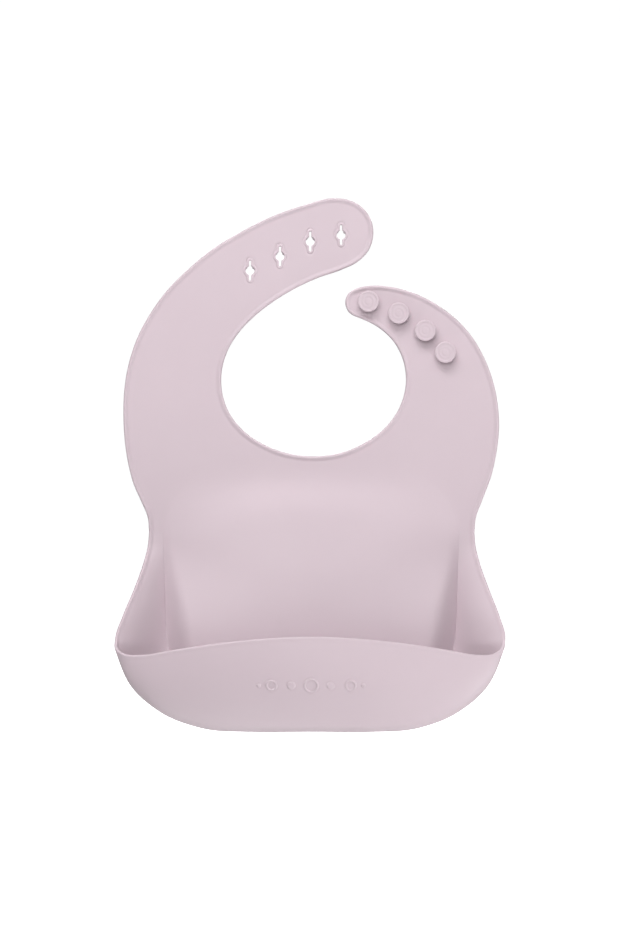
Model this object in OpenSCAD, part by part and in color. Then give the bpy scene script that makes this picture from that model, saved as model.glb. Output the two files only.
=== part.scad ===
// Silicone baby bib with a scoop pocket, four keyhole closure holes on one
// strap and four round studs on the other. One soft moulding, modelled as its
// regions, split along the lines where the silicone bends.
// Frame: X to the wearer's left as seen from the front, Z up, the front of the
// bib faces -Y. The origin is the middle of the neck opening, in the mid-plane
// of the sheet. Units are millimetres.

/* [Sheet] */
// Thickness of the silicone sheet
sheet_t = 1.8; // [1.4:0.1:2.0]
// Thickness of the rounded rim that runs around the sheet
rim_t = 3.0; // [2.3:0.1:3.2]
// Width of the rim
rim_w = 2.4; // [1.8:0.1:3.0]

/* [Belly and pocket] */
// How far the belly stands forward of the sheet
belly_h = 10.5; // [7:0.5:12]
// Extra doming in the middle of the belly
belly_crown = 1.2; // [0:0.2:2]
// Thickness of the pocket wall
wall_t = 1.8; // [1.4:0.1:2.0]
// Thickness of the rolled lip around the pocket mouth
lip_t = 2.4; // [2.1:0.1:3.0]

/* [Closure] */
// Diameter of a stud's head
head_d = 12; // [11:0.25:13]
// Thickness of a stud's head
head_t = 2.2; // [1.8:0.1:2.6]
// Diameter of a stud's neck
neck_d = 5.6; // [5:0.1:6]
// Height of a stud above the sheet
stud_h = 4.8; // [4.2:0.1:5.4]
// Diameter of the round middle of a keyhole
hole_d = 5.2; // [4.6:0.1:5.6]
// Width of the slits above and below a keyhole
slit_w = 1.3; // [1:0.1:1.6]
// Full height of a keyhole with its slits
slit_len = 12.8; // [11:0.2:14]

/* [Bending lines] */
// How far each region is cut back from the bending line it turns about
cut_back = 1.2; // [1.1:0.05:1.5]
// How far the chest panel is cut back from the line where it folds
chest_cut = 1.7; // [1.6:0.05:2]

/* [Hidden] */
$fn = 48;

pink = [0.84, 0.78, 0.81];

// Half the thickness of the round edge on each bending line
nose_r = 0.5 * sheet_t - 0.05;

// Outline of the sheet, x and z: up the left side, over the hole strap, back
// around the neck opening, over the stud strap and down the right side. The
// last four points carry it on below the waist, where it is always cut.
outline_pts = [
  [-97,-70], [-101,-61], [-104,-50], [-106,-38], [-107,-22], [-106.5,-7], [-104,8], [-99,23],
  [-91.5,37], [-82,50], [-70,62], [-56,73.5], [-40,83.2], [-22,92.2], [-4,98.5], [13,102.5],
  [23,101], [30,96.5], [34.5,89.5], [35.5,81.5], [33,73], [27,66.5], [17,61.5], [4,57],
  [-9,51], [-21,43.8], [-32,35.3], [-41,26], [-47.5,15.5], [-50.8,4], [-50.8,-7], [-47,-19],
  [-39,-29.5], [-27,-37.8], [-13,-43], [1.5,-44.6], [16,-42.9], [29,-37.8], [41.5,-29], [50,-17.5],
  [53.8,-5], [53,8], [47.3,20.3], [38,29], [28,34], [21.5,37.5], [19.3,42.5], [21.5,48.5],
  [27.5,51.6], [36,52.7], [48,51.5], [60,47.9], [71.5,42], [82,34.3], [91,24.6], [98.5,12],
  [103.5,-1], [106.3,-14], [107.2,-28], [105.8,-42], [103,-55], [97.5,-70],
  [94,-80], [93,-90], [93,-205], [-92.3,-205], [-92.3,-90], [-93.2,-80]];

// Closure holes and studs, x and z
hole_pts = [[-34.8,61.2], [-17.7,69.3], [-0.5,77.8], [17.1,81.5]];
stud_pts = [[32.9,43.8], [50,37.1], [65.3,27.2], [76.7,14.8]];

// Bending lines: a point, the direction in degrees, and the two ends of the
// round edge along it
bend_a1 = [[0,0], 178, 52.5, 103];
bend_a2 = [[0,0], 148, 50, 94];
bend_a3 = [[-26,65], 115, -19, 21];
bend_a4 = [[8,79.5], 98, -18, 20];
bend_b1 = [[0,0], -12, 55.5, 106];
bend_b2 = [[71,21], 42.5, -21, 15.5];
bend_b3 = [[41.5,40.5], 68.5, -10, 10.5];
fold_z = -51;     // chest bends from the neck ring here
keel_z = -192;    // pocket opens about this line

// Edge of the belly, right half, from the top middle to the bottom middle
belly_half = [[0,-55], [24,-56], [46,-59.5], [62,-66], [73,-77], [77.6,-92], [78.4,-110], [78.4,-130],
              [77.8,-148], [75,-163], [68,-176], [55,-184], [36,-187], [0,-187]];
belly_mid = [0,-121];

// Pocket, right half: each row runs from the back wall round under the pocket
// to the lip as one Bezier curve of four points
rows_half = [
  [[81,0,-95], [85,0,-92.7], [89,0,-90.4], [92.8,0,-88.2]],
  [[81,0,-107.5], [86,0,-107], [91.8,-2.5,-106], [95.5,-5,-105]],
  [[81,0,-122], [87,0,-122], [95.2,-6,-121], [100.6,-11.5,-120]],
  [[81,0,-136], [88.5,0,-137], [100,-11,-138], [106.6,-18,-136]],
  [[81,0,-148], [91.5,0,-151], [105.8,-15,-153], [109.8,-23,-148]],
  [[80.3,0,-160], [93.2,0,-170], [107.8,-17,-166], [108.6,-26,-153.5]],
  [[76.6,0,-173.2], [87.2,0,-187.5], [105.2,-21,-180], [103.6,-29,-157]],
  [[67.6,0,-185.8], [75.3,0,-197], [91.8,-28,-194.8], [93.4,-32,-157]],
  [[52,0,-193.2], [58.8,0,-203.6], [71.5,-34,-203.6], [77.7,-36,-154]],
  [[30,0,-193.3], [32,0,-205], [42,-42,-207.5], [44,-43,-148]],
  [[0,0,-193.3], [0,0,-205.5], [0,-47,-208.5], [0,-46,-145]]];
row_n = 3;        // steps between two rows
arc_n = 13;       // steps along a row
corner_row = 5;   // the row that runs up to the pocket's corner

// ---- curves ----
function tangent(q, i, c) =
  let (n = len(q), p = q[i], a = q[(i - 1 + n) % n], b = q[(i + 1) % n])
  (!c && i == 0) ? (b - p) / norm(b - p)
  : (!c && i == n - 1) ? (p - a) / norm(p - a)
  : let (u = norm(p - a), v = norm(b - p)) ((p - a) * v / u + (b - p) * u / v) / (u + v);
function between(p, q, tp, tq, t) =
  let (l = norm(q - p))
  (2*t*t*t - 3*t*t + 1) * p + (t*t*t - 2*t*t + t) * l * tp
  + (3*t*t - 2*t*t*t) * q + (t*t*t - t*t) * l * tq;
function smooth(q, n, c) =
  let (m = len(q), e = c ? m - 1 : m - 2)
  concat([for (i = [0:e]) for (k = [0:n - 1])
            between(q[i], q[(i + 1) % m], tangent(q, i, c), tangent(q, (i + 1) % m, c), k / n)],
         c ? [] : [q[m - 1]]);
// Moves a closed curve inwards by d; the curve runs clockwise
function inset(c, d) =
  let (m = len(c))
  [for (i = [0:m - 1]) let (t = c[(i + 1) % m] - c[(i - 1 + m) % m], u = t / norm(t)) c[i] + d * [u[1], -u[0]]];
function bezier(r, s) =
  (1-s)*(1-s)*(1-s) * r[0] + 3*(1-s)*(1-s)*s * r[1] + 3*(1-s)*s*s * r[2] + s*s*s * r[3];
function flip(p) = [-p[0], p[1], p[2]];

outline = smooth(outline_pts, 3, true);

// ---- the flat sheet, drawn lying down with its front up ----
module stand() rotate([90, 0, 0]) children();
module slab(pts, t) translate([0, 0, -t / 2]) linear_extrude(height = t) polygon(pts);
module left_of(b, off = 0)
  translate([b[0][0], b[0][1], 0]) rotate([0, 0, b[1]]) translate([-400, off, -20]) cube([800, 400, 40]);
module right_of(b, off = 0)
  translate([b[0][0], b[0][1], 0]) rotate([0, 0, b[1]]) translate([-400, -400 - off, -20]) cube([800, 400, 40]);
module nose(b)
  translate([b[0][0], b[0][1], 0]) rotate([0, 0, b[1]]) translate([b[2], 0, 0])
    rotate([0, 90, 0]) cylinder(r = nose_r, h = b[3] - b[2]);
module sheet() slab(outline, sheet_t);
module rim() difference() {
  slab(outline, rim_t);
  slab(inset(outline, rim_w), rim_t + 2);
}
module blank() { sheet(); rim(); }
module keyhole(p) translate([p[0], p[1], -5]) {
  cylinder(d = hole_d, h = 10);
  translate([-slit_w / 2, -slit_len / 2, 0]) cube([slit_w, slit_len, 10]);
}

// ---- sub-parts ----
module neck_collar() color(pink) stand() {
  intersection() {
    blank();
    left_of(bend_a1);
    right_of(bend_b1);
    translate([-200, fold_z, -20]) cube([400, 200, 40]);
  }
  nose(bend_a1);
  nose(bend_b1);
  translate([-101.5, fold_z, 0]) rotate([0, 90, 0]) cylinder(r = nose_r, h = 202.5);
}

// Lower edge of the chest panel: the waist, then the line where the gussets
// and the pocket floor begin
panel_half = concat([[130,-87.6], [93,-87.6], [80.4,-94.6]],
  [for (a = [0:10:90]) [50 + 30.4 * cos(a), -150 - 42 * sin(a)]]);
function belly_edge() =
  let (h = smooth(belly_half, 3, false), n = len(h))
  concat(h, [for (i = [n - 2:-1:1]) [-h[i][0], h[i][1]]]);

module chest_panel() color(pink) stand() {
  area = concat([[-130, fold_z - chest_cut], [130, fold_z - chest_cut]], panel_half,
                [for (i = [len(panel_half) - 1:-1:0]) [-panel_half[i][0], panel_half[i][1]]]);
  difference() {
    intersection() {
      union() {
        sheet();
        intersection() { rim(); translate([-200, -87.6, -20]) cube([400, 60, 40]); }
      }
      translate([0, 0, -20]) linear_extrude(height = 40) polygon(area);
    }
    translate([0, 0, -20]) linear_extrude(height = 40) polygon(belly_edge());
  }
  translate([-48, keel_z, 0]) rotate([0, 90, 0]) cylinder(r = nose_r, h = 96);
}

// Height of the belly at height z on a ring that lies k of the way from the
// middle: steep at the sides, and growing slowly from the top edge down
rings = [1, 0.985, 0.96, 0.93, 0.9, 0.87, 0.84, 0.7, 0.5, 0.25];
function rise(k, z) =
  let (u = min(1, (1 - k) / 0.16), s = u * u * (3 - 2 * u), g = sin(90 * max(0, min(1, (-52 - z) / 62))))
  s * (belly_h * (0.08 + 0.92 * g) + belly_crown * (1 - k * k));
function belly_side(e, y) = concat(
  [for (k = rings) for (p = e) let (z = belly_mid[1] + (p[1] - belly_mid[1]) * k)
     [belly_mid[0] + (p[0] - belly_mid[0]) * k, y - rise(k, z), z]],
  [[belly_mid[0], y - rise(0, belly_mid[1]), belly_mid[1]]]);
module belly_panel() {
  e = belly_edge();
  n = len(e);
  m = len(rings);
  pts = concat(belly_side(e, -sheet_t / 2), belly_side(e, sheet_t / 2));
  c = m * n;
  b = c + 1;
  faces = concat(
    [for (j = [0:m - 2]) for (i = [0:n - 1]) let (i2 = (i + 1) % n) each [
       [j*n + i, j*n + i2, (j+1)*n + i2], [j*n + i, (j+1)*n + i2, (j+1)*n + i],
       [b + j*n + i, b + (j+1)*n + i2, b + j*n + i2], [b + j*n + i, b + (j+1)*n + i, b + (j+1)*n + i2]]],
    [for (i = [0:n - 1]) let (i2 = (i + 1) % n, j = m - 1) each [
       [j*n + i, j*n + i2, c], [b + j*n + i, b + c, b + j*n + i2]]],
    [for (i = [0:n - 1]) let (i2 = (i + 1) % n) each [
       [i, b + i, b + i2], [i, b + i2, i2]]]);
  color(pink) polyhedron(pts, faces, convexity = 6);
}

// Pocket: all rows from the right waist round to the left waist
all_rows = concat(rows_half, [for (i = [len(rows_half) - 2:-1:0]) [for (p = rows_half[i]) flip(p)]]);
fine_cols = [for (k = [0:3]) smooth([for (r = all_rows) r[k]], row_n, false)];
fine_n = len(fine_cols[0]);
function wall_row(i) = let (r = [for (k = [0:3]) fine_cols[k][i]]) [for (j = [0:arc_n]) bezier(r, j / arc_n)];
grid = [for (i = [0:fine_n - 1]) wall_row(i)];
function normal_at(i, j) =
  let (du = grid[min(i + 1, fine_n - 1)][j] - grid[max(i - 1, 0)][j],
       dv = grid[i][min(j + 1, arc_n)] - grid[i][max(j - 1, 0)], n = cross(du, dv))
  n / norm(n);
// The wall thickens over its last part into the rolled lip
function half_t(j) = j == arc_n ? 0.35 * lip_t : j == arc_n - 1 ? 0.5 * lip_t : 0.5 * wall_t;
module pocket_part(i0, i1) {
  w = arc_n + 1;
  n = i1 - i0 + 1;
  pts = concat(
    [for (i = [i0:i1]) for (j = [0:arc_n]) grid[i][j] + normal_at(i, j) * half_t(j)],
    [for (i = [i0:i1]) for (j = [0:arc_n]) grid[i][j] - normal_at(i, j) * half_t(j)]);
  b = n * w;
  faces = concat(
    [for (i = [0:n - 2]) for (j = [0:w - 2]) let (p = i*w + j) each [
       [p, p + 1, p + w + 1], [p, p + w + 1, p + w],
       [b + p, b + p + w + 1, b + p + 1], [b + p, b + p + w, b + p + w + 1]]],
    [for (i = [0:n - 2]) let (p = i*w, q = i*w + w - 1) each [
       [p, p + w, b + p + w], [p, b + p + w, b + p],
       [q, b + q, b + q + w], [q, b + q + w, q + w]]],
    [for (j = [0:w - 2]) let (q = (n - 1)*w + j) each [
       [j, b + j, b + j + 1], [j, b + j + 1, j + 1],
       [q, q + 1, b + q + 1], [q, b + q + 1, b + q]]]);
  polyhedron(pts, faces, convexity = 8);
}
cut_r = corner_row * row_n;
cut_l = fine_n - 1 - cut_r;
module pocket_front_wall() color(pink) pocket_part(cut_r, cut_l);
module pocket_right_gusset() color(pink) pocket_part(0, cut_r);
module pocket_left_gusset() color(pink) pocket_part(cut_l, fine_n - 1);

module hole_strap_base() color(pink) stand() {
  intersection() { blank(); right_of(bend_a1, cut_back); left_of(bend_a2); }
  nose(bend_a2);
}
module hole_strap_middle() color(pink) stand() {
  difference() {
    intersection() { blank(); right_of(bend_a2, cut_back); left_of(bend_a3); }
    keyhole(hole_pts[0]);
  }
  nose(bend_a3);
}
module hole_strap_end() color(pink) stand() {
  difference() {
    intersection() {
      blank();
      right_of(bend_a3, cut_back);
      left_of(bend_a4);
      translate([-200, 0, -20]) cube([400, 200, 40]);
    }
    keyhole(hole_pts[1]);
    keyhole(hole_pts[2]);
  }
  nose(bend_a4);
}
module hole_strap_tip() color(pink) stand()
  difference() {
    intersection() {
      blank();
      right_of(bend_a4, cut_back);
      translate([0, 0, -20]) linear_extrude(height = 40)
        polygon([[-10,45], [0,50], [22,57.5], [60,62], [60,125], [-10,125]]);
    }
    keyhole(hole_pts[3]);
  }
module stud_strap_base() color(pink) stand() {
  intersection() { blank(); left_of(bend_b1, cut_back); right_of(bend_b2); }
  nose(bend_b2);
}
module stud_strap_middle() color(pink) stand() {
  intersection() { blank(); left_of(bend_b2, cut_back); right_of(bend_b3); }
  nose(bend_b3);
}
module stud_strap_tip() color(pink) stand()
  intersection() {
    blank();
    left_of(bend_b3, cut_back);
    translate([0, 0, -20]) linear_extrude(height = 40)
      polygon([[10,20], [70,20], [70,60], [30,56.5], [22,54.5], [10,50]]);
  }
// A stud: a round neck with a flat round head that has a soft edge
module stud(k) color(pink) stand() translate([stud_pts[k][0], stud_pts[k][1], sheet_t / 2])
  rotate_extrude() polygon([
    [0, 0], [neck_d/2 + 0.8, 0], [neck_d/2, 0.8], [neck_d/2, stud_h - head_t],
    [head_d/2 - 0.7, stud_h - head_t], [head_d/2, stud_h - head_t + 0.7], [head_d/2, stud_h - 0.8],
    [head_d/2 - 0.8, stud_h], [head_d/2 - 1.6, stud_h], [head_d/2 - 2.2, stud_h - 0.3], [0, stud_h - 0.3]]);
module stud_1() stud(0);
module stud_2() stud(1);
module stud_3() stud(2);
module stud_4() stud(3);

neck_collar();
chest_panel();
belly_panel();
pocket_front_wall();
pocket_right_gusset();
pocket_left_gusset();
hole_strap_base();
hole_strap_middle();
hole_strap_end();
hole_strap_tip();
stud_strap_base();
stud_strap_middle();
stud_strap_tip();
stud_1();
stud_2();
stud_3();
stud_4();
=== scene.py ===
import bpy
import math
import numpy as np
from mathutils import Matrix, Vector
from mathutils.geometry import delaunay_2d_cdt
from mathutils.bvhtree import BVHTree


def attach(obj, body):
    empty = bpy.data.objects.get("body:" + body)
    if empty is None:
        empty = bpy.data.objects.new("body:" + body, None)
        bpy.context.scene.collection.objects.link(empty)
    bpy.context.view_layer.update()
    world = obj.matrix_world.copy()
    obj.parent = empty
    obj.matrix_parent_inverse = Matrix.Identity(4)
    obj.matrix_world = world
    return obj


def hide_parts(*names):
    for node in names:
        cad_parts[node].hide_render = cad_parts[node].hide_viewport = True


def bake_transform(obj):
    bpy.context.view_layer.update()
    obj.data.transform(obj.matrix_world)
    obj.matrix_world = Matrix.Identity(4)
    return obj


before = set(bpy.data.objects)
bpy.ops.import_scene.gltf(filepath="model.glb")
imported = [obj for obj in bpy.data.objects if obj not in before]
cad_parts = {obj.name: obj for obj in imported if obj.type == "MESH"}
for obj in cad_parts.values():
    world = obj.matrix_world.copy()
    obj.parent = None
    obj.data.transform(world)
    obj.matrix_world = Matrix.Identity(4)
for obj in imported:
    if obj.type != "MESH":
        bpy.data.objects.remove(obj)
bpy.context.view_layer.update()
MM = 0.001

# ------------------------------------------------------------------ sizes, mm
SHEET = 0.9          # half the sheet's thickness
BEAD = 1.55          # half the rim bead's thickness
LIP = 1.0            # half the pocket lip's thickness
STUD_TOP = 5.8       # stud head's top, from the sheet's mid-plane
BELLY = 15.0
CROWN = 1.2
MID = (0.0, -121.0)

OUTLINE = [
    (-92.4, -88.2), (-93, -80), (-97, -70), (-101, -61), (-104, -50), (-106, -38), (-107, -22), (-106.5, -7),
    (-104, 8), (-99, 23), (-91.5, 37), (-82, 50), (-70, 62), (-56, 73.5), (-40, 83.2), (-22, 92.2), (-4, 98.5),
    (13, 102.5), (23, 101), (30, 96.5), (34.5, 89.5), (35.5, 81.5), (33, 73), (27, 66.5), (17, 61.5), (4, 57),
    (-9, 51), (-21, 43.8), (-32, 35.3), (-41, 26), (-47.5, 15.5), (-50.8, 4), (-50.8, -7), (-47, -19), (-39, -29.5),
    (-27, -37.8), (-13, -43), (1.5, -44.6), (16, -42.9), (29, -37.8), (41.5, -29), (50, -17.5), (53.8, -5), (53, 8),
    (47.3, 20.3), (38, 29), (28, 34), (24.2, 35.5), (21.6, 37.3), (20.2, 39.7), (19.4, 43.3), (21.5, 48.5), (27.5, 51.6), (36, 52.7), (48, 51.5),
    (60, 47.9), (71.5, 42), (82, 34.3), (91, 24.6), (98.5, 12), (103.5, -1), (106.3, -14), (107.2, -28),
    (105.8, -42), (103, -55), (97.5, -70), (93.9, -80), (93.2, -88.2)]
HOLES = [(-34.8, 61.2), (-17.7, 69.3), (-0.5, 77.8), (17.1, 81.5)]
STUDS = [(32.5, 43.4), (49.7, 36.7), (64.9, 26.8), (76.3, 14.4)]
BELLY_HALF = [(0, -46), (24, -47), (46, -50), (64, -56), (77, -67), (83, -81), (83.8, -96), (83.4, -110),
              (83, -122), (82.6, -136), (81.8, -148), (79.8, -160), (75.4, -172), (67, -184), (51, -190), (30, -191.5), (0, -191.5)]
ROWS_R = [
    [(84.6, 0, -88.2), (87.4, 0, -88.2), (90.3, 0, -88.2), (93.2, 0, -88.2)],
    [(84.2, 0, -95), (87, -0.4, -95), (90.8, -0.6, -95), (93.7, -0.9, -95)],
    [(83.8, 0, -107), (86, -1.4, -106.7), (91.4, -4.3, -106), (95.9, -5, -105)],
    [(83.4, 0, -122), (85.8, -3.2, -122), (91.8, -9.8, -121.5), (100.9, -11.5, -120)],
    [(83, 0, -136), (85.6, -4.2, -136.7), (94, -16, -138), (106.4, -18, -135)],
    [(82.2, 0, -148), (85.6, -4.4, -150), (99.5, -20, -151.5), (109.1, -23, -147)],
    [(80.2, 0, -160), (87.4, -3, -167), (107, -20, -164.5), (107.4, -26, -151.8)],
    [(75.8, 0, -173.2), (85.4, -1.4, -186.3), (105.4, -21.4, -179.4), (102.5, -29, -155.2)],
    [(67.4, 0, -185.8), (75, 0, -196), (90.8, -28, -193.9), (92.6, -32, -155.6)],
    [(52, 0, -193.2), (57.6, 0, -202.9), (69.4, -34, -202.6), (77.2, -36, -152.8)],
    [(30, 0, -193.3), (32, 0, -204.8), (42, -42, -207.3), (44, -43, -147.6)],
    [(0, 0, -193.3), (0, 0, -204.5), (0, -47, -207.5), (0, -46, -144.7)]]
LEFT_X = [(84.6, 87.2, 89.8, 92.4), (84.2, 86.8, 90.3, 93), (83.8, 86, 91, 95.3), (83.4, 86.8, 94.2, 100.4),
          (83, 87.4, 98.2, 106.4), (82.2, 88, 102.4, 110), (80.2, 87.6, 108.2, 109.3), (75.8, 86.4, 107.8, 104.5),
          (67.4, 76.5, 94, 94.2), (52, 59, 72, 78), (30, 32, 42, 44)]

# Where one skin ends and the next begins: inner and outer point on the outline
CUTS = {
    "A0": ((-46, -21), (-106.4, -35)),
    "A12": ((-48.4, 14.5), (-100.5, 19.5)),
    "A23": ((-32.5, 35), (-67, 64.5)),
    "A34": ((-4, 53.5), (-14.5, 95)),
    "B0": ((47, -23), (107, -36)),
    "B12": ((54, -1.5), (101, 6)),
    "B23": ((47.3, 20.3), (66.5, 45)),
}

# ------------------------------------------------------------------ curves
def tangents(q, closed):
    n = len(q)
    out = []
    for i in range(n):
        p = q[i]
        if not closed and i == 0:
            t = (q[1] - p) / np.linalg.norm(q[1] - p)
        elif not closed and i == n - 1:
            t = (p - q[-2]) / np.linalg.norm(p - q[-2])
        else:
            a, b = q[i - 1], q[(i + 1) % n]
            u, v = np.linalg.norm(p - a), np.linalg.norm(b - p)
            t = ((p - a) * v / u + (b - p) * u / v) / (u + v)
        out.append(t)
    return np.array(out)


def between(p, q, tp, tq, t):
    l = np.linalg.norm(q - p)
    return ((2 * t**3 - 3 * t**2 + 1) * p + (t**3 - 2 * t**2 + t) * l * tp
            + (3 * t**2 - 2 * t**3) * q + (t**3 - t**2) * l * tq)


def smooth(q, step=None, n=None, closed=False):
    q = np.array(q, float)
    tg = tangents(q, closed)
    m = len(q)
    out = []
    for i in range(m if closed else m - 1):
        j = (i + 1) % m
        k = n or max(2, int(math.ceil(np.linalg.norm(q[j] - q[i]) / step)))
        for s in range(k):
            out.append(between(q[i], q[j], tg[i], tg[j], s / k))
    if not closed:
        out.append(q[-1])
    return np.array(out)


def inward(c):
    """Unit vectors to the right of an open curve's direction of travel."""
    t = np.gradient(c, axis=0)
    t /= np.linalg.norm(t, axis=1)[:, None]
    return np.stack([t[:, 1], -t[:, 0]], axis=1)


def inside(pts, poly):
    x, y = pts[:, 0], pts[:, 1]
    res = np.zeros(len(pts), bool)
    a = poly
    b = np.roll(poly, -1, axis=0)
    for (x0, y0), (x1, y1) in zip(a, b):
        if y0 == y1:
            continue
        c = ((y0 > y) != (y1 > y)) & (x < (x1 - x0) * (y - y0) / (y1 - y0) + x0)
        res ^= c
    return res


def far_from(pts, poly, gap):
    """Which points keep a gap from every vertex of a dense polyline."""
    keep = np.ones(len(pts), bool)
    for i in range(0, len(poly), 64):
        d = np.linalg.norm(pts[:, None, :] - poly[None, i:i + 64, :], axis=2)
        keep &= d.min(axis=1) > gap
    return keep


# ------------------------------------------------------------------ belly
bh = smooth(BELLY_HALF, n=8)
belly_edge = np.concatenate([bh, (bh * [-1, 1])[-2:0:-1]])
_ang = np.arctan2(belly_edge[:, 1] - MID[1], belly_edge[:, 0] - MID[0])
_rad = np.hypot(belly_edge[:, 0] - MID[0], belly_edge[:, 1] - MID[1])
_o = np.argsort(_ang)
_ang, _rad = _ang[_o], _rad[_o]


def edge_radius(a):
    return np.interp(a, _ang, _rad, period=2 * math.pi)


def rise(x, z):
    dx, dz = x - MID[0], z - MID[1]
    a = np.arctan2(dz, dx)
    k = np.hypot(dx, dz) / edge_radius(a)
    # a wide arch at the top; lower down the sides stand up into walls
    up = np.clip(np.sin(a), 0, 1) ** 2
    low = np.clip((-94 - z) / 52, 0, 1)
    low = low * low * (3 - 2 * low)
    u = np.clip((1 - k) / 0.44, 0, 1)
    top = u * u * u * (u * (u * 6 - 15) + 10)
    u = np.clip((1 - k) / (0.07 + 0.11 * low), 0, 1)
    wall = np.where(u < 0.5, u * 4 / 3, 1 - 4 / 3 * (1 - u) ** 2)
    q = 0.12 + 0.7 * low
    s = up * top + (1 - up) * (q * wall + (1 - q) * np.clip(1 - k * k, 0, 1))
    # slope of the dome: builds over 18 mm, steady over 42 mm, dies out over 46 mm
    d = np.clip(-44 - z, 0, 106)
    g = np.where(d < 18, d * d / 36, np.where(d < 60, d - 9, 51 + (d - 60) - (d - 60) ** 2 / 92)) / 74
    return s * (BELLY * (0.08 + 0.92 * g) + CROWN * np.clip(1 - k * k, 0, 1))


# ------------------------------------------------------------------ rim profile
RING_D = [0, 0.06, 0.18, 0.38, 0.66, 1.0, 1.35, 1.7, 2.1, 2.5, 2.9, 3.4, 4.0]


def bead_h(d, top):
    if d < 1.0:
        return top * math.sqrt(max(0.0, 1 - (1 - d) ** 2))
    u = min(1.0, max(0.0, (d - 1.0) / 2.1))
    s = u * u * (3 - 2 * u)
    return top + (SHEET - top) * s - 0.02 * math.exp(-((d - 3.1) / 0.5) ** 2)


# ------------------------------------------------------------------ mid-surface
P, N, H = [], [], []          # positions, front normals, half thickness
FACES, PIECE = [], []         # vertex loops and the skin each belongs to


def add(p, n, h):
    P.append(np.array(p, float))
    N.append(np.array(n, float))
    H.append(float(h))
    return len(P) - 1


def flat(x, z, h):
    e = 0.05
    gx = (rise(x + e, z) - rise(x - e, z)) / (2 * e)
    gz = (rise(x, z + e) - rise(x, z - e)) / (2 * e)
    n = np.array([-gx, -1.0, -gz])
    return add((x, -float(rise(x, z)), z), n / np.linalg.norm(n), h)


def face(loop, piece):
    p = [P[i] for i in loop]
    n = np.cross(p[1] - p[0], p[2] - p[0])
    if len(p) == 4:
        n = n + np.cross(p[2] - p[0], p[3] - p[0])
    if np.dot(n, sum(N[i] for i in loop)) < 0:
        loop = loop[::-1]
    FACES.append(tuple(loop))
    PIECE.append(piece)


# pocket grid -------------------------------------------------------------
rows = [[np.array(p, float) for p in r] for r in ROWS_R]
rows += [[np.array((-x, p[1], p[2]), float) for x, p in zip(lx, r)] for lx, r in zip(LEFT_X[::-1], ROWS_R[-2::-1])]
cols = []
for k in range(4):
    cols.append(smooth([r[k] for r in rows], n=9))
NT = len(cols[0])
NU = 30
grid = np.zeros((NT, NU + len(RING_D), 3))
for i in range(NT):
    s = np.linspace(0, 1, 241)[:, None]
    c = ((1 - s) ** 3 * cols[0][i] + 3 * (1 - s) ** 2 * s * cols[1][i]
         + 3 * (1 - s) * s * s * cols[2][i] + s ** 3 * cols[3][i])
    arc = np.concatenate([[0], np.cumsum(np.linalg.norm(np.diff(c, axis=0), axis=1))])
    L = arc[-1]
    want = list(np.linspace(0, L - RING_D[-1], NU + 1)) + [L - d for d in RING_D[-2::-1]]
    for k in range(3):
        grid[i, :, k] = np.interp(want, arc, c[:, k])
NSS = grid.shape[1]
du = np.gradient(grid, axis=0)
dv = np.gradient(grid, axis=1)
gn = np.cross(du, dv)
gn /= np.maximum(1e-9, np.linalg.norm(gn, axis=2))[:, :, None]
if gn[0, 3, 1] > 0:
    gn = -gn
gn[:, 0] = (0, -1, 0)
gn[0] = (0, -1, 0)
gn[-1] = (0, -1, 0)
GI = np.zeros((NT, NSS), int)
for i in range(NT):
    # the lip's bead grows out of the sheet's bead below the waist
    w = min(1.0, min(i, NT - 1 - i) / 40.0)
    top = BEAD + (LIP - BEAD) * w * w * (3 - 2 * w)
    for j in range(NSS):
        h = SHEET if j < NU else bead_h(RING_D[NSS - 1 - j], top)
        h -= 0.12 * w * min(1.0, j / NU) if j < NU else 0.12 * w * min(1.0, RING_D[NSS - 1 - j] / 2)
        GI[i, j] = add(grid[i, j], gn[i, j], h)
for i in range(NT - 1):
    for j in range(NSS - 1):
        face([GI[i, j], GI[i, j + 1], GI[i + 1, j + 1], GI[i + 1, j]], "pocket_skin")

# flat sheet --------------------------------------------------------------
out = smooth(OUTLINE, step=1.7)
nrm = inward(out)
nrm[0] = (1, 0)
nrm[-1] = (-1, 0)
NO = len(out)


def nearest(p):
    return int(np.argmin(np.linalg.norm(out - np.array(p), axis=1)))


cut = {k: (nearest(a), nearest(b)) for k, (a, b) in CUTS.items()}
RI = np.zeros((NO, len(RING_D)), int)
for i in range(NO):
    for k, d in enumerate(RING_D):
        if i == 0:
            RI[i, k] = GI[NT - 1, NSS - 1 - k]
        elif i == NO - 1:
            RI[i, k] = GI[0, NSS - 1 - k]
        else:
            q = out[i] + nrm[i] * d
            RI[i, k] = flat(q[0], q[1], bead_h(d, BEAD))

# which skin a stretch of the outline belongs to
marks = sorted([(cut["A0"][1], "hole_strap_skin_1"), (cut["A12"][1], "hole_strap_skin_2"),
                (cut["A23"][1], "hole_strap_skin_3"), (cut["A34"][1], "hole_strap_skin_4"),
                (cut["A34"][0], "hole_strap_skin_3"), (cut["A23"][0], "hole_strap_skin_2"),
                (cut["A12"][0], "hole_strap_skin_1"), (cut["A0"][0], "chest_skin"),
                (cut["B0"][0], "stud_strap_skin_1"), (cut["B12"][0], "stud_strap_skin_2"),
                (cut["B23"][0], "stud_strap_skin_3"), (cut["B23"][1], "stud_strap_skin_2"),
                (cut["B12"][1], "stud_strap_skin_1"), (cut["B0"][1], "chest_skin")])


def stretch(i):
    name = "chest_skin"
    for m, nm in marks:
        if i >= m:
            name = nm
    return name


for i in range(NO - 1):
    nm = stretch(i)
    for k in range(len(RING_D) - 1):
        face([RI[i, k], RI[i, k + 1], RI[i + 1, k + 1], RI[i + 1, k]], nm)

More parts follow.
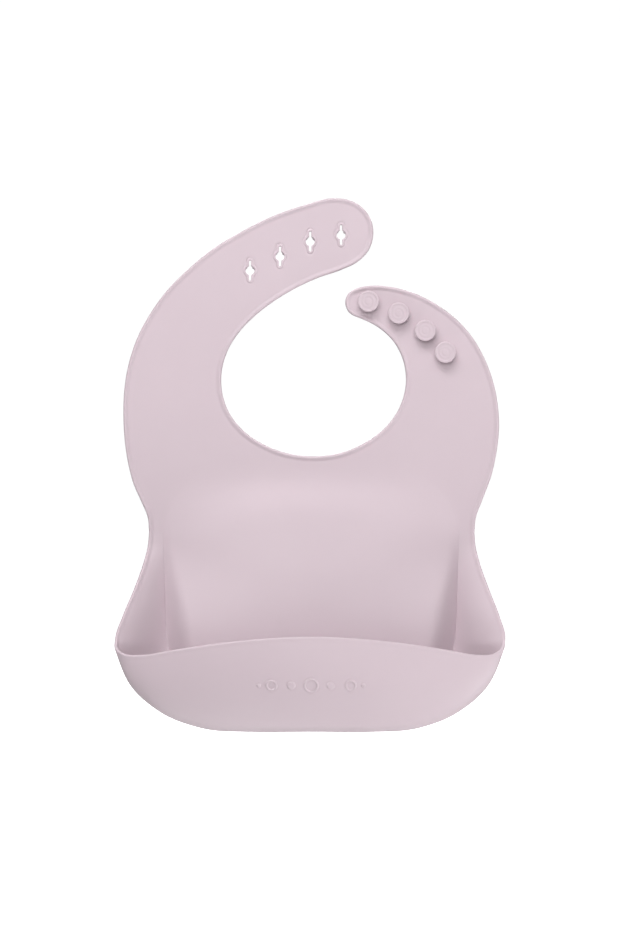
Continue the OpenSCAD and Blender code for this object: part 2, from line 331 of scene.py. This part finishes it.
# keyholes: rings around each ------------------------------------------------
KEY_D = [0, 0.12, 0.32, 0.62, 0.92, 1.2, 1.5, 1.85, 2.3, 3.0]
KEY_H = [0.80, 1.06, 1.20, 1.24, 1.16, 0.84, 0.64, 0.72, 0.86, 0.90]
_f = [0, 1.8, 3.6, 5.2, 6.2, 7.4, 9, 10.8, 12.6, 14.4, 16.5, 19, 23, 28, 35, 43, 52, 62, 72, 81]
_phi = _f + [90] + [180 - a for a in _f[::-1]]
PHI = np.radians(_phi + [180 + a for a in _phi[1:-1]])
HR, SW, SL = 2.55, 0.58, 5.7


def key_ring(d):
    r = []
    for f in PHI:
        s, c = abs(math.sin(f)), abs(math.cos(f))
        w, l = (SW if math.cos(f) > 0 else SW + 0.13) + d, SL + d
        side = w / s if s > 1e-6 else 1e9
        cap = l - w
        # distance to the round end of the slit along this direction
        disc = w * w - (cap * s) ** 2
        end = cap * c + math.sqrt(disc) if disc > 0 else -1
        rs = end if (end > 0 and side * c > cap) else side
        a, b = HR + d, rs
        # soft corner where the slit leaves the round hole
        m = 0.25 + 0.5 * d
        h = max(0.0, m - abs(a - b)) / m
        r.append(max(a, b) + 0.25 * h * h * m)
    return np.array(r)


key_loops = []
for hx, hz in HOLES:
    idx = []
    for d, h in zip(KEY_D, KEY_H):
        r = key_ring(d)
        idx.append([flat(hx + r[i] * math.sin(PHI[i]), hz + r[i] * math.cos(PHI[i]), h) for i in range(len(PHI))])
    key_loops.append(idx)

# interior of the sheet -------------------------------------------------------
ring = [RI[i, -1] for i in range(NO)]
seam_r = [GI[0, j] for j in range(NU - 1, 0, -1)]
u_line = [GI[i, 0] for i in range(NT)]
seam_l = [GI[NT - 1, j] for j in range(1, NU)]
loop = ring + seam_r + u_line + seam_l
verts2 = [(P[i][0], P[i][2]) for i in loop]
ids = list(loop)
edges2 = [(i, (i + 1) % len(loop)) for i in range(len(loop))]
dom = np.array(verts2)
keep_off = [dom]
key_poly = []
for idx in key_loops:
    o = idx[-1]
    b0 = len(verts2)
    verts2 += [(P[i][0], P[i][2]) for i in o]
    ids += o
    edges2 += [(b0 + i, b0 + (i + 1) % len(o)) for i in range(len(o))]
    poly = np.array([(P[i][0], P[i][2]) for i in o])
    key_poly.append(poly)
    keep_off.append(poly)


def put(q, h=SHEET):
    verts2.append((float(q[0]), float(q[1])))
    ids.append(flat(float(q[0]), float(q[1]), h))
    return len(verts2) - 1


# straight seams between skins
seam_pts = []
for name, (i, j) in cut.items():
    a, b = P[RI[i, -1]][[0, 2]], P[RI[j, -1]][[0, 2]]
    n = max(2, int(round(np.linalg.norm(b - a) / 2.6)))
    prev = i
    for k in range(1, n):
        v = put(a + (b - a) * k / n)
        edges2.append((prev, v))
        seam_pts.append(a + (b - a) * k / n)
        prev = v
    edges2.append((prev, j))
keep_off.append(np.array(seam_pts))

# belly contours
contour = []
for k in [1.025, 1.0, 0.985, 0.97, 0.955, 0.94, 0.925, 0.91, 0.895, 0.88, 0.865, 0.85, 0.835, 0.815, 0.79, 0.765, 0.74, 0.71, 0.68]:
    n = int(round(2 * math.pi * 66 * k / 2.4))
    for i in range(n):
        a = 2 * math.pi * (i + 0.5 * (round(k * 1000) % 2)) / n
        # even spacing in angle around the belly's middle
        r = float(edge_radius(a)) * k
        contour.append((MID[0] + r * math.cos(a), MID[1] + r * math.sin(a)))
contour = np.array(contour)
ok = inside(contour, dom)
for poly in keep_off:
    ok &= far_from(contour, poly, 1.0)
contour = contour[ok]
for q in contour:
    put(q)

# even grid elsewhere
g = []
step = 2.8
for r, z in enumerate(np.arange(-196, 104, step * 0.866)):
    for x in np.arange(-110, 110, step):
        g.append((x + (step / 2 if r % 2 else 0), z))
g = np.array(g)
ok = inside(g, dom)
for poly in key_poly:
    ok &= ~inside(g, poly)
g = g[ok]
for poly in keep_off:
    g = g[far_from(g, poly, 1.5)]
dx, dz = g[:, 0] - MID[0], g[:, 1] - MID[1]
kk = np.hypot(dx, dz) / edge_radius(np.arctan2(dz, dx))
g = g[(kk < 0.665) | (kk > 1.04)]
for q in g:
    put(q)

res = delaunay_2d_cdt([Vector(v) for v in verts2], edges2, [], 0, 1e-5, True)
rv, rf, orig = res[0], res[2], res[3]
back = []
for k, v in enumerate(rv):
    o = orig[k]
    back.append(ids[o[0]] if o else flat(v.x, v.y, SHEET))
tri = np.array([list(f) for f in rf if len(f) == 3])
pts = np.array([(v.x, v.y) for v in rv])
cen = pts[tri].mean(axis=1)
_u, _v = pts[tri[:, 1]] - pts[tri[:, 0]], pts[tri[:, 2]] - pts[tri[:, 0]]
area = np.abs(_u[:, 0] * _v[:, 1] - _u[:, 1] * _v[:, 0])
ok = inside(cen, dom) & (area > 1e-7)
for poly in key_poly:
    ok &= ~inside(cen, poly)


def beyond(name, c):
    """How far points lie past a seam, towards the strap's tip."""
    i, j = cut[name]
    a, b = P[RI[i, -1]][[0, 2]], P[RI[j, -1]][[0, 2]]
    t = (b - a) / np.linalg.norm(b - a)
    s = (c - a) @ np.array([-t[1], t[0]])
    return s if name[0] == "B" else -s


cen_piece = []
val = {k: beyond(k, cen) for k in cut}
for i in range(len(tri)):
    x, z = cen[i]
    nm = "chest_skin"
    left = x < 45 and (x < 0 or z > 54)
    if left and x < 36 and z > -40 and not (x > 15 and z < 56):
        if val["A0"][i] > 0 and x < 0 or z > 50:
            nm = "hole_strap_skin_1"
        if (val["A12"][i] > 0 and x < 0 and z > -5) or z > 50:
            nm = "hole_strap_skin_2"
        if (val["A23"][i] > 0 and z > 20):
            nm = "hole_strap_skin_3"
        if (val["A34"][i] > 0 and z > 45):
            nm = "hole_strap_skin_4"
    elif x > 15 and z > -40:
        if val["B0"][i] > 0:
            nm = "stud_strap_skin_1"
        if val["B12"][i] > 0 and z > -12:
            nm = "stud_strap_skin_2"
        if val["B23"][i] > 0 and z > 10:
            nm = "stud_strap_skin_3"
    cen_piece.append(nm)
for t, o, nm in zip(tri, ok, cen_piece):
    if o:
        face([back[t[0]], back[t[1]], back[t[2]]], nm)

hole_piece = ["hole_strap_skin_3", "hole_strap_skin_3", "hole_strap_skin_4", "hole_strap_skin_4"]
WALLS = []
for idx, nm in zip(key_loops, hole_piece):
    m = len(PHI)
    for a in range(len(KEY_D) - 1):
        for i in range(m):
            j = (i + 1) % m
            face([idx[a][i], idx[a][j], idx[a + 1][j], idx[a + 1][i]], nm)
    for i in range(m):
        WALLS.append((idx[0][i], idx[0][(i + 1) % m], nm))

# ------------------------------------------------------------------ skins
P, N, H = np.array(P), np.array(N), np.array(H)
M = len(P)
rear_shift = np.zeros((M, 3))
for (hx, hz), idx in zip(HOLES, key_loops):
    for i, f in enumerate(np.degrees(PHI)):
        g1 = 0.75 * math.exp(-((f - 52) / 20) ** 2) + 0.45 * math.exp(-((f - 308) / 18) ** 2)
        for ring_n, share in ((0, 1.0), (1, 0.8), (2, 0.5), (3, 0.2)):
            v = P[idx[ring_n][i]]
            d = np.array([v[0] - hx, 0, v[2] - hz])
            rear_shift[idx[ring_n][i]] = -d / np.linalg.norm(d) * g1 * share
front = P + N * H[:, None]
rear = P - N * H[:, None] + rear_shift
allv = np.concatenate([front, rear])
single = H < 1e-6


def rear_id(i):
    return i if single[i] else i + M


solid = []                       # (loop, skin)
for lp, nm in zip(FACES, PIECE):
    solid.append((list(lp), nm))
    b = [rear_id(i) for i in lp][::-1]
    solid.append((b, nm))
centre_of = {}
for a, b, nm in WALLS:
    solid.append(([a, b, rear_id(b), rear_id(a)], nm))

vn = np.zeros((2 * M, 3))
fixed = []
for lp, nm in solid:
    l2 = [v for k, v in enumerate(lp) if v != lp[k - 1]]
    p = allv[l2]
    n = np.cross(p[1] - p[0], p[2] - p[0])
    if len(l2) == 4:
        n = n + np.cross(p[2] - p[0], p[3] - p[0])
    fixed.append((l2, nm, n))
# hole walls face their hole
k0 = len(fixed) - len(WALLS)
for q in range(k0, len(fixed)):
    l2, nm, n = fixed[q]
    c = allv[l2].mean(axis=0)
    h = min(HOLES, key=lambda p: math.hypot(p[0] - c[0], p[1] - c[2]))
    if np.dot(n, np.array([h[0], 0, h[1]]) - c * [1, 0, 1]) < 0:
        fixed[q] = (l2[::-1], nm, -n)
for l2, nm, n in fixed:
    for v in l2:
        vn[v] += n
vn /= np.maximum(1e-12, np.linalg.norm(vn, axis=1))[:, None]

# edges shared by two skins get a cap inside the silicone, so each skin closes
owner = {}
for lp, nm in zip(FACES, PIECE):
    for k in range(len(lp)):
        a, b = lp[k - 1], lp[k]
        owner.setdefault((min(a, b), max(a, b)), []).append((nm, a, b))
caps = []
for e, us in owner.items():
    if len(us) == 2 and us[0][0] != us[1][0]:
        for nm, a, b in us:
            caps.append(([b, a, rear_id(a), rear_id(b)], nm))


def build(name):
    loops = [l for l, nm, n in fixed if nm == name]
    cl = []
    for lp, nm in caps:
        if nm == name:
            l2 = [v for k, v in enumerate(lp) if v != lp[k - 1]]
            if len(l2) >= 3:
                cl.append(l2)
    used = sorted({v for l in loops + cl for v in l})
    new = {v: i for i, v in enumerate(used)}
    me = bpy.data.meshes.new(name)
    me.from_pydata([tuple(allv[v] * MM) for v in used], [], [[new[v] for v in l] for l in loops + cl])
    me.polygons.foreach_set("use_smooth", [True] * len(loops) + [False] * len(cl))
    me.update()
    me.normals_split_custom_set_from_vertices([tuple(vn[v]) for v in used])
    ob = bpy.data.objects.new(name, me)
    bpy.context.scene.collection.objects.link(ob)
    return ob


skins = {n: build(n) for n in ["chest_skin", "pocket_skin"] + ["hole_strap_skin_%d" % i for i in (1, 2, 3, 4)]
         + ["stud_strap_skin_%d" % i for i in (1, 2, 3)]}

# ------------------------------------------------------------------ studs
def lathe(name, prof, x, z, seg=72):
    vs, fs = [], []
    for r, y in prof:
        if r < 1e-6:
            vs.append([(x, -y, z)])
        else:
            vs.append([(x + r * math.cos(2 * math.pi * k / seg), -y, z + r * math.sin(2 * math.pi * k / seg)) for k in range(seg)])
    base, off = [], []
    for ringv in vs:
        off.append(len(base))
        base += ringv
    for i in range(len(vs) - 1):
        a, b = vs[i], vs[i + 1]
        for k in range(seg):
            k2 = (k + 1) % seg
            if len(a) == 1:
                fs.append((off[i], off[i + 1] + k2, off[i + 1] + k))
            elif len(b) == 1:
                fs.append((off[i] + k, off[i] + k2, off[i + 1]))
            else:
                fs.append((off[i] + k, off[i] + k2, off[i + 1] + k2, off[i + 1] + k))
    me = bpy.data.meshes.new(name)
    me.from_pydata([tuple(c * MM for c in v) for v in base], [], fs)
    me.polygons.foreach_set("use_smooth", [True] * len(fs))
    me.update()
    ob = bpy.data.objects.new(name, me)
    bpy.context.scene.collection.objects.link(ob)
    return ob


def arc(cx, cy, r, a0, a1, n):
    return [(cx + r * math.cos(math.radians(a0 + (a1 - a0) * k / n)), cy + r * math.sin(math.radians(a0 + (a1 - a0) * k / n))) for k in range(n + 1)]


T = STUD_TOP
stud_profile = ([(0, 0.55), (2.4, 0.55), (4.5, 0.6), (4.55, 0.86)]
                + arc(4.5, 2.6, 1.72, 268, 182, 8)
                + [(2.78, 3.1)] + arc(3.08, 3.2, 0.3, 180, 90, 3)
                + [(4.2, 3.52), (5.2, 3.56)] + arc(5.35, 4.2, 0.65, -85, 0, 6)
                + [(6.0, 4.6)] + arc(5.45, T - 0.55, 0.55, 5, 88, 7)
                + [(5.3, T), (5.12, T - 0.01)] + arc(4.95, T - 0.14, 0.13, 80, 150, 3)[::1]
                + [(4.72, T - 0.15), (4.5, T - 0.18), (4.1, T - 0.18), (3.5, T - 0.16), (3.3, T - 0.12), (3.1, T - 0.11), (2.9, T - 0.12),
                   (2.7, T - 0.16), (2.2, T - 0.18), (1.7, T - 0.17), (1.5, T - 0.13), (1.2, T - 0.12), (0.6, T - 0.12), (0, T - 0.12)])
stud_body = ["stud_strap_3", "stud_strap_2", "stud_strap_2", "stud_strap_1"]
studs = [lathe("stud_cap_%d" % (i + 1), stud_profile, x, z) for i, (x, z) in enumerate(STUDS)]

# ------------------------------------------------------------------ raised dots on the pocket front
pk = skins["pocket_skin"]
tree = BVHTree.FromPolygons([v.co.copy() for v in pk.data.vertices], [list(p.vertices) for p in pk.data.polygons])


def dot_mesh(name, spots, height):
    vs, fs = [], []
    seg = 48

    def on_wall(px, pz):
        h = tree.ray_cast(Vector((px * MM, -0.2, pz * MM)), Vector((0, 1, 0)))
        n = h[1].normalized()
        return h[0], (n if n.y < 0 else -n)

    for cx, cz, r, w in spots:
        n = on_wall(cx, cz)[1]
        # profile across the stroke: distance from the middle of the spot, height
        if w:
            prof = [(r, -0.3), (r - 0.03, 0.1), (r - 0.12, 0.55), (r - 0.3, 0.9), (r - w * 0.5, 1.0), (r - w + 0.3, 0.9),
                    (r - w + 0.12, 0.55), (r - w + 0.03, 0.1), (r - w, -0.3)]
        else:
            prof = [(r, -0.3), (r - 0.03, 0.1), (r - 0.12, 0.55), (r - 0.3, 0.9), (r * 0.5, 1.0)]
        b0 = len(vs)
        for pr, ph in prof:
            for k in range(seg):
                a = 2 * math.pi * k / seg
                q = on_wall(cx + pr * math.cos(a), cz + pr * math.sin(a))[0]
                vs.append(tuple(q + n * (height * ph * MM)))
        m = len(prof)
        for i in range(m - 1):
            for k in range(seg):
                k2 = (k + 1) % seg
                fs.append((b0 + i * seg + k, b0 + i * seg + k2, b0 + (i + 1) * seg + k2, b0 + (i + 1) * seg + k))
        last = b0 + (m - 1) * seg
        if w:
            for k in range(seg):
                k2 = (k + 1) % seg
                fs.append((last + k, last + k2, b0 + k2, b0 + k))
        else:
            vs.append(tuple(on_wall(cx, cz)[0] + n * (height * MM)))
            for k in range(seg):
                fs.append((last + k, last + (k + 1) % seg, len(vs) - 1))
            fs.append(tuple(b0 + k for k in range(seg - 1, -1, -1)))
    me = bpy.data.meshes.new(name)
    me.from_pydata(vs, [], fs)
    me.polygons.foreach_set("use_smooth", [True] * len(fs))
    me.update()
    ob = bpy.data.objects.new(name, me)
    bpy.context.scene.collection.objects.link(ob)
    return ob


spots = [(x, -172.0, r, 1.5) for x, r in [(-22, 3.4), (0, 4.4), (22, 3.4)]]
spots += [(x, -172.0, r, 0) for x, r in [(-29, 1.3), (-11, 2.4), (11, 2.4), (29, 1.3)]]
dots = dot_mesh("pocket_dots", spots, 0.42)

# ------------------------------------------------------------------ material
def silicone(name):
    m = bpy.data.materials.new(name)
    m.use_nodes = True
    nt = m.node_tree
    for n in list(nt.nodes):
        nt.nodes.remove(n)
    outn = nt.nodes.new("ShaderNodeOutputMaterial")
    b = nt.nodes.new("ShaderNodeBsdfPrincipled")
    nt.links.new(b.outputs["BSDF"], outn.inputs["Surface"])
    tc = nt.nodes.new("ShaderNodeTexCoord")
    # slow drift of tone, as pigment in a moulding
    n1 = nt.nodes.new("ShaderNodeTexNoise")
    n1.inputs["Scale"].default_value = 14.0
    n1.inputs["Detail"].default_value = 3.0
    nt.links.new(tc.outputs["Object"], n1.inputs["Vector"])
    ramp = nt.nodes.new("ShaderNodeValToRGB")
    ramp.color_ramp.elements[0].position = 0.3
    ramp.color_ramp.elements[0].color = (0.588, 0.487, 0.533, 1)
    ramp.color_ramp.elements[1].position = 0.7
    ramp.color_ramp.elements[1].color = (0.606, 0.503, 0.549, 1)
    nt.links.new(n1.outputs["Fac"], ramp.inputs["Fac"])
    nt.links.new(ramp.outputs["Color"], b.inputs["Base Color"])
    # satin variation
    n2 = nt.nodes.new("ShaderNodeTexNoise")
    n2.inputs["Scale"].default_value = 90.0
    n2.inputs["Detail"].default_value = 4.0
    nt.links.new(tc.outputs["Object"], n2.inputs["Vector"])
    mr = nt.nodes.new("ShaderNodeMapRange")
    mr.inputs["To Min"].default_value = 0.50
    mr.inputs["To Max"].default_value = 0.60
    nt.links.new(n2.outputs["Fac"], mr.inputs["Value"])
    nt.links.new(mr.outputs["Result"], b.inputs["Roughness"])
    # fine moulded grain
    n3 = nt.nodes.new("ShaderNodeTexNoise")
    n3.inputs["Scale"].default_value = 2600.0
    n3.inputs["Detail"].default_value = 2.0
    nt.links.new(tc.outputs["Object"], n3.inputs["Vector"])
    n4 = nt.nodes.new("ShaderNodeTexNoise")
    n4.inputs["Scale"].default_value = 60.0
    n4.inputs["Detail"].default_value = 1.0
    nt.links.new(tc.outputs["Object"], n4.inputs["Vector"])
    bump2 = nt.nodes.new("ShaderNodeBump")
    bump2.inputs["Strength"].default_value = 0.25
    bump2.inputs["Distance"].default_value = 0.0004
    nt.links.new(n4.outputs["Fac"], bump2.inputs["Height"])
    bump = nt.nodes.new("ShaderNodeBump")
    bump.inputs["Strength"].default_value = 0.18
    bump.inputs["Distance"].default_value = 0.00005
    nt.links.new(n3.outputs["Fac"], bump.inputs["Height"])
    nt.links.new(bump2.outputs["Normal"], bump.inputs["Normal"])
    nt.links.new(bump.outputs["Normal"], b.inputs["Normal"])
    b.inputs["IOR"].default_value = 1.41
    b.inputs["Subsurface Weight"].default_value = 0.15
    b.inputs["Subsurface Radius"].default_value = (1.0, 0.92, 0.95)
    b.inputs["Subsurface Scale"].default_value = 0.0016
    b.inputs["Sheen Weight"].default_value = 0.2
    b.inputs["Sheen Roughness"].default_value = 0.5
    return m


mat = silicone("silicone_blush")
for o in list(skins.values()) + studs + [dots]:
    o.data.materials.append(mat)


def bend(ob):
    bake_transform(ob)


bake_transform(skins["chest_skin"])
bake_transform(pk)
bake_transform(dots)
bend(skins["hole_strap_skin_1"])
bend(skins["hole_strap_skin_2"])
bend(skins["hole_strap_skin_3"])
bend(skins["hole_strap_skin_4"])
bend(skins["stud_strap_skin_1"])
bend(skins["stud_strap_skin_2"])
bend(skins["stud_strap_skin_3"])
for o, body in zip(studs, stud_body):
    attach(o, body)

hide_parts("neck_collar", "chest_panel", "belly_panel")
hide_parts("pocket_front_wall", "pocket_right_gusset", "pocket_left_gusset")
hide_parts("hole_strap_base")
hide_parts("hole_strap_middle")
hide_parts("hole_strap_end")
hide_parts("hole_strap_tip")
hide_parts("stud_strap_base")
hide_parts("stud_strap_middle")
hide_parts("stud_strap_tip")
for i, o in enumerate(studs):
    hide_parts("stud_%d" % (i + 1))

# ------------------------------------------------------------------ stage
def emitter(name, colour, strength):
    m = bpy.data.materials.new(name)
    m.use_nodes = True
    b = m.node_tree.nodes["Principled BSDF"]
    b.inputs["Base Color"].default_value = (*colour, 1)
    b.inputs["Roughness"].default_value = 0.9
    b.inputs["Emission Color"].default_value = (1, 1, 1, 1)
    b.inputs["Emission Strength"].default_value = strength
    return m


def stage(name, vs, fs, mat):
    me = bpy.data.meshes.new(name)
    me.from_pydata(vs, [], fs)
    me.materials.append(mat)
    ob = bpy.data.objects.new(name, me)
    bpy.context.scene.collection.objects.link(ob)
    # seen, but it throws no light of its own on the bib
    ob.visible_diffuse = False
    ob.visible_glossy = False
    ob.visible_transmission = False
    ob.visible_shadow = False
    return ob


S, Z0 = 9.0, -0.29
stage("floor", [(-S, -S, Z0), (S, -S, Z0), (S, S, Z0), (-S, S, Z0)], [(0, 1, 2, 3)], emitter("floor_white", (0.6, 0.6, 0.6), 0.93))
n = 48
ringv = [(S * math.cos(2 * math.pi * k / n), S * math.sin(2 * math.pi * k / n)) for k in range(n)]
vs = [(x, y, Z0 - 0.01) for x, y in ringv] + [(x, y, S) for x, y in ringv]
stage("backdrop", vs, [(k, (k + 1) % n, n + (k + 1) % n, n + k) for k in range(n)] + [tuple(range(n, 2 * n))], emitter("backdrop_white", (0, 0, 0), 1.02))

sc = bpy.context.scene
sc.view_settings.view_transform = "Standard"
sc.view_settings.look = "None"
w = bpy.data.worlds.new("studio")
sc.world = w
w.use_nodes = True
nt = w.node_tree
bg = nt.nodes["Background"]
bg.inputs["Color"].default_value = (1, 1, 1, 1)
tc = nt.nodes.new("ShaderNodeTexCoord")
sep = nt.nodes.new("ShaderNodeSeparateXYZ")
mr = nt.nodes.new("ShaderNodeMapRange")
mr.inputs["From Min"].default_value = -1.0
mr.inputs["From Max"].default_value = 1.0
mr.inputs["To Min"].default_value = 0.25
mr.inputs["To Max"].default_value = 0.28
nt.links.new(tc.outputs["Generated"], sep.inputs["Vector"])
nt.links.new(sep.outputs["Z"], mr.inputs["Value"])
nt.links.new(mr.outputs["Result"], bg.inputs["Strength"])


def area_light(name, loc, target, size, power, color=(1, 1, 1)):
    l = bpy.data.lights.new(name, "AREA")
    l.shape = "RECTANGLE"
    l.size, l.size_y = size
    l.energy = power
    l.color = color
    o = bpy.data.objects.new(name, l)
    bpy.context.scene.collection.objects.link(o)
    o.location = loc
    o.rotation_mode = "QUATERNION"
    o.rotation_quaternion = (Vector(target) - Vector(loc)).to_track_quat("-Z", "Y")
    o.visible_camera = False
    return o


area_light("front", (-0.15, -1.9, 0.45), (0, 0, -0.06), (2.0, 0.8), 17.5)
area_light("top", (-0.2, -1.05, 1.35), (0, 0, -0.06), (1.6, 0.8), 24)
area_light("fill_low", (-0.35, -0.15, -1.5), (0, -0.02, -0.15), (1.4, 0.7), 8)
area_light("low_right", (0.9, -0.2, -0.9), (0.06, -0.03, -0.17), (0.5, 0.5), 9)
area_light("behind", (0.2, 1.6, 0.9), (0, 0, -0.06), (1.8, 1.0), 30)

cam_d = bpy.data.cameras.new("cam")
cam_d.sensor_width = 36
cam_d.lens = 36 * 1600 / 530.1
cam = bpy.data.objects.new("cam", cam_d)
sc.collection.objects.link(cam)
cam.location = (-0.0006, -1.6, -0.0496)
cam.rotation_euler = (math.radians(90), 0, 0)
sc.camera = cam
